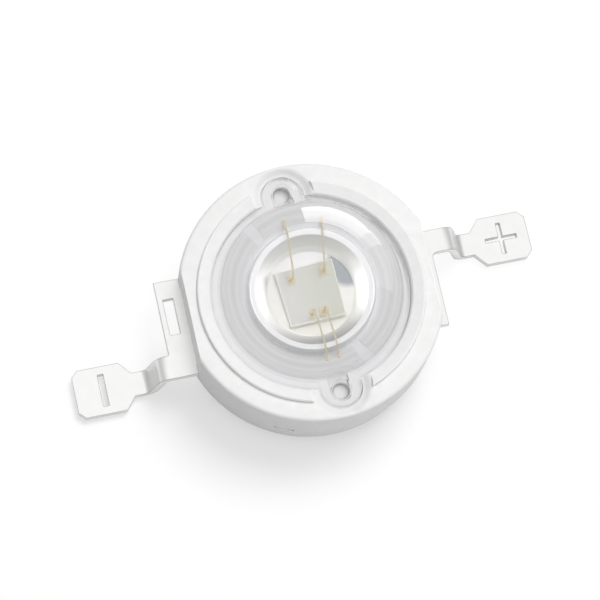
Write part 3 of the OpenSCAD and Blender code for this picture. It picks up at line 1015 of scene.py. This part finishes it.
@dataclass
class DomeLens:
    """The clear lens: a hollow dome on a flange with two ears."""

    package: Package
    finish: ClearPolycarbonate = ClearPolycarbonate()
    contact: WettedFace = WettedFace()
    steps: int = 256
    dome_r: float = 2.8
    flange_r: float = 2.97
    ear_from: float = 2.5
    bevel: float = 0.04
    foot_round: float = 0.05
    touch: float = 0.01

    def section(self) -> list[Point]:
        """The lens's section: dome outside, hollow inside."""
        p = self.package
        under = p.seat_z + p.wetting_gap
        dome_z = p.lens_top - self.dome_r
        flange_top = p.seat_z + p.flange_t
        soft = self.foot_round
        low = math.degrees(math.asin((flange_top + soft - dome_z) / self.dome_r))
        dome = arc((0.0, dome_z), self.dome_r, low, 90, 96)
        start = math.degrees(math.asin((under - p.hollow_z) / p.hollow_r))
        hollow = arc((0.0, p.hollow_z), p.hollow_r, 90, start, 48)
        return [
            (self.flange_r, under),
            (self.flange_r, flange_top - self.bevel),
            *arc((self.flange_r - self.bevel, flange_top - self.bevel), self.bevel, 15, 90, 5),
            *arc((dome[0][0] + soft, flange_top + soft), soft, 270, 190, 5),
            *dome[:-1],
            (0.0, p.lens_top),
            (0.0, p.lens_top - p.lens_wall),
            *hollow[1:],
        ]

    def ear(self) -> Shape:
        """One ear along +X, with a bevelled top edge."""
        p = self.package
        shape = prism("ear", p.ear_outline(0.0, self.ear_from), p.seat_z + p.wetting_gap, p.ear_top)
        open_up(shape)
        bpy.ops.mesh.select_all(action="DESELECT")
        bpy.ops.mesh.select_mode(type="EDGE")
        bpy.ops.object.mode_set(mode="OBJECT")
        points = shape.data.vertices
        for edge in shape.data.edges:
            edge.select = all(abs(points[v].co.z - p.ear_top) < MERGE for v in edge.vertices)
        bpy.ops.object.mode_set(mode="EDIT")
        bpy.ops.mesh.bevel(offset=self.bevel, segments=4, affect="EDGES")
        return close_up(shape)

    def build(self) -> None:
        """Models the lens and marks the faces that the gel wets."""
        p = self.package
        lens = turn("dome_lens", self.section(), self.steps)
        for side in BOTH_SIDES:
            work(lens, baked(self.ear(), p.ear_turn + side), Blend.JOIN)
        for side in BOTH_SIDES:
            ring = arc((p.hole_c, 0.0), p.hole_r, 0, 354, 59)
            hole = prism("hole", ring, p.seat_z - 1, p.ear_top + 1)
            work(lens, baked(hole, p.ear_turn + side), Blend.CUT)
        sort_faces(lens, self.is_wetted)
        to_frame(lens, "lens", Slot.LENS, self.finish.material(), self.contact.material())

    def is_wetted(self, face: bpy.types.MeshPolygon) -> bool:
        """Whether gel touches a face: the underside, the hollow and the walls of the ear holes."""
        p = self.package
        middle = face.center
        under = face.normal.z < -0.99 and abs(middle.z - p.seat_z) < self.touch
        reach = (middle - Vector((0, 0, p.hollow_z))).length
        return under or self.in_ear_hole(face) or reach < p.hollow_r + self.touch

    def in_ear_hole(self, face: bpy.types.MeshPolygon) -> bool:
        """Whether a face is part of the wall of one of the two ear holes."""
        p = self.package
        for side in BOTH_SIDES:
            way = math.radians(p.ear_turn + side)
            off = face.center.xy - Vector((math.cos(way), math.sin(way))) * p.hole_c
            if off.length < p.hole_r + self.touch and abs(face.normal.z) < 0.1:
                return True
        return False


@dataclass
class Slug:
    """The turned and plated heat slug with its reflector cup."""

    package: Package
    finish: TurnedSilver = TurnedSilver()
    steps: int = 192
    bevel: float = 0.08
    lip_round: float = 0.03
    floor_round: float = 0.05

    def section(self) -> list[Point]:
        """The slug's section from the axis, round its side and down into the cup."""
        p = self.package
        top = p.boss_top
        floor = top - p.cup_depth
        lip, root = self.lip_round, self.floor_round
        return [
            (0.0, 0.0),
            (p.slug_r - self.bevel, 0.0),
            (p.slug_r, self.bevel),
            *p.slug_side(),
            *arc((p.boss_r - lip, top - lip), lip, 0, 90, 6),
            *arc((p.cup_r + lip * 0.5, top - lip), lip, 90, 145, 5),
            *arc((p.cup_floor_r - root * 0.6, floor + root), root, -35, -90, 6),
            (0.0, floor),
        ]

    def build(self) -> None:
        """Turns the slug."""
        slug = turn("turned_slug", self.section(), self.steps)
        to_frame(slug, "heat_slug", Slot.SLUG, self.finish.material())


@dataclass
class Lead:
    """One stamped and bent lead, with the rounded edges of sheared sheet."""

    node: str
    edge: float = 0.022
    edge_from: float = 40.0
    flat_to: float = 1.0

    def build(self, plating: bpy.types.Material) -> None:
        """Models the lead from a copy of its CAD node: flat faces merged, sheared edges rounded.

        Args:
            plating: The material that both leads share.
        """
        shape = bpy.data.objects.new(self.node + "_sheet", bpy.data.objects[self.node].data.copy())
        bpy.context.scene.collection.objects.link(shape)
        baked(shape, scale=1 / MM)
        bpy.ops.mesh.customdata_custom_splitnormals_clear()
        bpy.ops.object.mode_set(mode="EDIT")
        open_up(close_up(shape))
        bpy.ops.mesh.dissolve_limited(angle_limit=math.radians(self.flat_to))
        bpy.ops.object.mode_set(mode="OBJECT")
        sharp = {"limit_method": "ANGLE", "angle_limit": math.radians(self.edge_from)}
        modify(shape, "BEVEL", width=self.edge, segments=3, **sharp)
        to_frame(shape, self.node, Slot.LEAD, plating)


@dataclass
class Gel:
    """The clear silicone that fills the lens, with a dished surface in both ear holes."""

    package: Package
    finish: ClearPolycarbonate = ClearPolycarbonate(name="silicone_gel", index=1.41)
    contact: WettedFace = WettedFace(name="silicone_gel_contact")
    steps: int = 96
    sink: float = 0.1
    climb: float = 0.06

    def section(self) -> list[Point]:
        """The filling's section: hollow, well and cup, each kept clear of what it touches."""
        p = self.package
        gap = p.wetting_gap
        radius = p.hollow_r - gap
        start = math.degrees(math.asin((p.seat_z - p.hollow_z) / radius))
        cup_z = p.boss_top - p.cup_depth
        return [
            (0.0, cup_z + gap),
            (p.cup_floor_r - gap, cup_z + gap),
            (p.cup_r - gap, p.boss_top + gap),
            (p.boss_r + gap, p.boss_top + gap),
            (p.boss_r + gap, p.shelf_top + gap),
            (p.well_r - gap, p.shelf_top + gap),
            (p.well_r - gap, p.seat_z),
            *arc((0.0, p.hollow_z), radius, start, 90, 32),
        ]

    def column(self) -> Shape:
        """The gel that stands in one ear hole, with its surface climbing the wall."""
        p = self.package
        radius = p.hole_r - p.wetting_gap
        low = p.seat_z - p.pit_depth + p.wetting_gap
        top = p.ear_top - self.sink
        dish = [(radius * i / 8, top + self.climb * (i / 8) ** 3) for i in range(9)]
        section = [(0.0, low), (radius, low), *reversed(dish)]
        return baked(turn("column", section, 48), along_x=p.hole_c)

    def is_free(self, face: bpy.types.MeshPolygon) -> bool:
        """Whether a face is the gel's open surface in an ear hole."""
        p = self.package
        in_ear = face.center.z > p.seat_z and face.center.xy.length > p.ear_c - p.ear_r
        return face.normal.z > 0.3 and in_ear

    def build(self) -> None:
        """Models the gel and marks its open surfaces."""
        p = self.package
        gap = p.wetting_gap
        body = turn("silicone_filling", self.section(), self.steps)
        for side in BOTH_SIDES:
            low = (p.well_r - 0.2, gap - p.hole_r, p.shelf_top + gap)
            link = block("link", low, (p.hole_c, p.hole_r - gap, p.seat_z - gap))
            for part in (link, self.column()):
                work(body, baked(part, p.ear_turn + side), Blend.JOIN)
        sort_faces(body, self.is_free)
        to_frame(body, "encapsulant", Slot.GEL, self.contact.material(), self.finish.material())


@dataclass
class LightSource:
    """The chip, its die attach, its contacts and its wires: CAD nodes that only need finishes."""

    chip: GrownChip = GrownChip()
    paste: SilverPaste = SilverPaste()
    gold: GoldWire = GoldWire()
    wires: tuple[str, ...] = ("anode_wire_1", "anode_wire_2", "cathode_wire_1", "cathode_wire_2")

    def dress(self) -> None:
        """Gives the nodes their finishes."""
        gold = self.gold.material()
        for node in ("chip_contacts", *self.wires):
            dress(bpy.data.objects[node], gold)
        dress(bpy.data.objects["led_chip"], self.chip.material())
        dress(bpy.data.objects["die_attach"], self.paste.material())
        log.info("light source dressed")


# ---- studio --------------------------------------------------------------------------------


@dataclass
class Softbox:
    """One lamp, aimed at the object's middle, or standing upright beside it at a given height."""

    name: str
    azimuth: float
    elevation: float
    distance: float
    width: float
    height: float
    power: float
    reach: Reach
    only_on: tuple[str, ...] = ()
    upright_at: float = 0.0

    def build(self) -> None:
        """Makes the lamp; its sizes are in millimetres and its power in watts."""
        data = bpy.data.lights.new(self.name, "AREA")
        data.shape = "RECTANGLE"
        data.size = self.width * MM
        data.size_y = self.height * MM
        data.energy = self.power
        lamp = bpy.data.objects.new(self.name, data)
        a, e = math.radians(self.azimuth), math.radians(self.elevation)
        way = Vector((math.cos(a) * math.cos(e), math.sin(a) * math.cos(e), math.sin(e)))
        lamp.location = (way * self.distance + Vector((0.0, 0.0, self.upright_at))) * MM
        lamp.rotation_euler = way.to_track_quat("Z", "Y").to_euler()
        lamp.visible_camera = False
        lamp.visible_transmission = False
        lamp.visible_diffuse = self.reach is Reach.SKIN
        lamp.visible_glossy = self.reach is Reach.GLOSS
        if self.only_on:
            lit = bpy.data.collections.new(self.name + "_lights")
            for piece in self.only_on:
                lit.objects.link(bpy.data.objects[piece])
            lamp.light_linking.receiver_collection = lit
        bpy.context.scene.collection.objects.link(lamp)


# A strip of daylight that the dome mirrors, in three parts; the key light from behind; three
# cards that only the plated slug mirrors; and a weak fill for the moulding's front wall.
SOFTBOXES = (
    Softbox("window", 59.5, 0.0, 3.8, 3.6, 1.9, 0.00007, Reach.GLOSS, ("dome_lens",), 4.2),
    Softbox("window_tail", 28.0, 0.0, 3.8, 0.85, 1.8, 0.000009, Reach.GLOSS, ("dome_lens",), 4.2),
    Softbox("side_glow", 4.0, 0.0, 3.8, 2.4, 1.7, 0.000011, Reach.GLOSS, ("dome_lens",), 4.2),
    Softbox("key", 46.0, 62.0, 500.0, 240.0, 240.0, 1.2, Reach.SKIN),
    Softbox("right_card", 4.0, 16.0, 100.0, 50.0, 44.0, 0.088, Reach.GLOSS, ("turned_slug",)),
    Softbox("left_card", 164.0, 16.0, 100.0, 50.0, 44.0, 0.09, Reach.GLOSS, ("turned_slug",)),
    Softbox("top_card", 75.0, 60.0, 100.0, 90.0, 80.0, 0.118, Reach.GLOSS, ("turned_slug",)),
    Softbox("fill", -55.0, 12.0, 300.0, 150.0, 150.0, 0.13, Reach.SKIN, ("housing_moulding",)),
)


@dataclass
class Studio:
    """A white table, a white surround, softboxes and the camera."""

    softboxes: tuple[Softbox, ...] = SOFTBOXES
    azimuth: float = -28.7
    elevation: float = 73.9
    roll: float = 16.7
    distance: float = 90.0
    lens_mm: float = 180.84
    aim: Place = (-0.390, -0.188, 2.787)
    clip: Span = (0.01, 10.0)
    table: float = 1500.0
    table_z: float = -0.002
    table_colour: str = "B4B4B4"
    shade_colour: str = "CACACA"
    light_colour: str = "FFFFFF"
    table_lift: float = 0.44
    panel_strength: float = 1.02
    panel_share: float = 0.75
    panel_fade_mm: Span = (2.8, 0.4)
    clear_faces: int = 32
    mirror_bounces: int = 8
    tent: Span = (0.58, 1.08)
    tent_from: float = 0.45
    tent_on_matt: float = 0.68

    def axes(self) -> tuple[Vector, Vector, Vector]:
        """Works out the view's own axes.

        Returns:
            The directions to the view's right, to its top and back to the camera.
        """
        a, e, r = (math.radians(v) for v in (self.azimuth, self.elevation, self.roll))
        back = Vector((math.sin(a) * math.cos(e), -math.cos(a) * math.cos(e), math.sin(e)))
        right = Vector((math.cos(a), math.sin(a), 0.0))
        up = back.cross(right)
        return right * math.cos(r) + up * math.sin(r), up * math.cos(r) - right * math.sin(r), back

    def camera(self) -> None:
        """Places the camera by its angles round the object."""
        data = bpy.data.cameras.new("camera")
        data.lens = self.lens_mm
        data.clip_start, data.clip_end = self.clip
        camera = bpy.data.objects.new("camera", data)
        bpy.context.scene.collection.objects.link(camera)
        axes = self.axes()
        camera.location = (Vector(self.aim) + axes[2] * self.distance) * MM
        camera.rotation_mode = "QUATERNION"
        camera.rotation_quaternion = Matrix(axes).transposed().to_quaternion()
        bpy.context.scene.camera = camera

    def floor(self) -> None:
        """Lays the table: white card, and behind the object a back-lit panel that drowns shadows.

        Only the camera sees the panel. Rays that light the object find the plain card.
        """
        leave_all()
        bpy.ops.mesh.primitive_plane_add(size=self.table * MM, location=(0, 0, self.table_z * MM))
        table = bpy.context.object
        table.name = "table"
        made, add = blank("table_card")
        card = add("BsdfDiffuse", {"Color": self.table_colour})
        shade = add("BsdfDiffuse", {"Color": self.shade_colour})
        light = {"Color": self.light_colour}
        lift = add("Emission", {**light, "Strength": self.table_lift})
        lit = add("AddShader", {0: shade, 1: lift})
        place = add("TexCoord", {}, "Object")
        front = -self.axes()[1].to_2d().normalized()
        ahead = add("VectorMath", {0: place, 1: (*front, 0.0)}, operation="DOT_PRODUCT")
        fade = {**ends("From", self.panel_fade_mm, MM), "To Max": self.panel_share}
        behind = add("MapRange", {"Value": ahead, **fade}, interpolation_type="SMOOTHSTEP")
        panel = add("Emission", {**light, "Strength": self.panel_strength})
        viewed = add("LightPath", {}, "Is Camera Ray")
        shown = add("Math", {0: behind, 1: viewed}, operation="MULTIPLY")
        laid = add("MixShader", {0: shown, 1: lit, 2: panel})
        mirrored = {0: viewed, 1: add("LightPath", {}, "Is Glossy Ray")}
        seen = add("Math", mirrored, operation="MAXIMUM")
        refracted = {0: seen, 1: add("LightPath", {}, "Is Transmission Ray")}
        through = add("Math", refracted, operation="MAXIMUM")
        add("OutputMaterial", {"Surface": add("MixShader", {0: through, 1: card, 2: laid})})
        dress(table, made)

    def world(self) -> None:
        """Surrounds the scene with white card, brighter overhead and weaker on matt skins."""
        world = bpy.data.worlds.new("surround")
        bpy.context.scene.world = world
        world.use_nodes = True
        world.node_tree.nodes.clear()
        add = partial(add_node, world.node_tree)
        light = {"Color": self.light_colour}
        seen = add("Background", {**light, "Strength": 1.0})
        height = add("SeparateXYZ", {"Vector": add("TexCoord", {}, "Generated")}, "Z")
        rise = {"From Min": self.tent_from, **ends("To", self.tent)}
        strength = add("MapRange", {"Value": height, **rise}, interpolation_type="SMOOTHSTEP")
        shares = ends("To", (1.0, self.tent_on_matt))
        matt = add("MapRange", {"Value": add("LightPath", {}, "Is Diffuse Ray"), **shares})
        level = add("Math", {0: strength, 1: matt}, operation="MULTIPLY")
        fill = add("Background", {**light, "Strength": level})
        viewed = add("LightPath", {}, "Is Camera Ray")
        add("OutputWorld", {"Surface": add("MixShader", {0: viewed, 1: fill, 2: seen})})

    def build(self) -> None:
        """Sets up the whole studio."""
        self.camera()
        self.floor()
        self.world()
        for softbox in self.softboxes:
            softbox.build()
        scene = bpy.context.scene
        scene.view_settings.view_transform = "Standard"
        scene.cycles.transparent_max_bounces = self.clear_faces
        scene.cycles.glossy_bounces = self.mirror_bounces
        log.info("studio ready")


def plain(corners: tuple[Vector, Vector]) -> list[list[float]]:
    """A box as plain lists of numbers."""
    return [[float(value) for value in corner] for corner in corners]


def main() -> None:
    """Builds the emitter's looks around the frame, one sub-assembly after another."""
    logging.basicConfig(level=logging.INFO, format="%(message)s")
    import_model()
    package = Package()
    for part in (Moulding(package), DomeLens(package), Slug(package), Gel(package)):
        part.build()
    plating = SilverPlate().material()
    for node in ("anode_lead", "cathode_lead"):
        Lead(node).build(plating)
    LightSource().dress()
    Studio().build()


if __name__ == "__main__":
    main()
